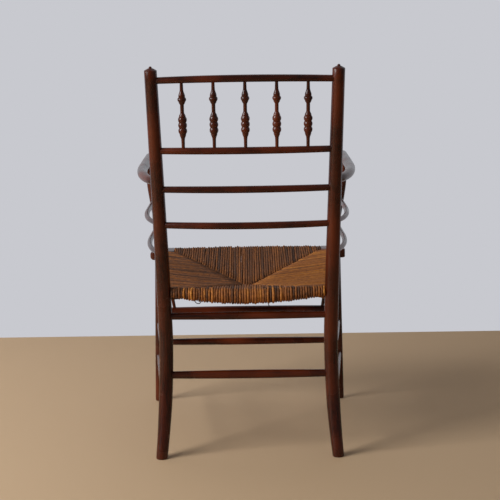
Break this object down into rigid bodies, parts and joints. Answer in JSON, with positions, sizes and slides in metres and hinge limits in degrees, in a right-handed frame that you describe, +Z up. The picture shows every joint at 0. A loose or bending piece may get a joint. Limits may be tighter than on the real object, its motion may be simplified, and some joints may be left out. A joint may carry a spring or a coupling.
{
  "type": "rush-seated armchair",
  "caption": "Wooden armchair with slender turned posts and rails, a low band of beaded spindles in the back, bowed arms and a woven rush seat.",
  "frame": {"origin": "on the floor, under the middle of the chair's outer box", "axes": "+Z up, -Y towards the front (the way a sitter faces), +X towards the sitter's left"},
  "size_m": [0.512, 0.5714, 0.877],
  "materials": {
    "frame_wood": "dark reddish-brown stain, polished",
    "seat_rail_wood": "bare, hidden in the rush",
    "rush": "twisted rush, matte"
  },
  "bodies": {
    "root": {"arm_left": "frame_wood", "arm_right": "frame_wood", "arm_support_left": "frame_wood", "arm_support_right": "frame_wood", "back_post_left": "frame_wood", "back_post_right": "frame_wood", "back_stretcher_lower": "frame_wood", "back_stretcher_upper": "frame_wood", "corner_block_left": "frame_wood", "corner_block_right": "frame_wood", "front_leg_left": "frame_wood", "front_leg_right": "frame_wood", "front_stretcher_lower": "frame_wood", "front_stretcher_upper": "frame_wood", "lower_rail": "frame_wood", "middle_rail": "frame_wood", "rush_seat": "rush", "seat_back_rail": "seat_rail_wood", "seat_front_rail": "seat_rail_wood", "seat_side_rail_left": "seat_rail_wood", "seat_side_rail_right": "seat_rail_wood", "side_rail_lower_left": "frame_wood", "side_rail_lower_right": "frame_wood", "side_rail_upper_left": "frame_wood", "side_rail_upper_right": "frame_wood", "side_stretcher_lower_left": "frame_wood", "side_stretcher_lower_right": "frame_wood", "side_stretcher_upper_left": "frame_wood", "side_stretcher_upper_right": "frame_wood", "spindle_rail": "frame_wood", "spindles": "frame_wood", "top_rail": "frame_wood"}
  },
  "joints": []
}
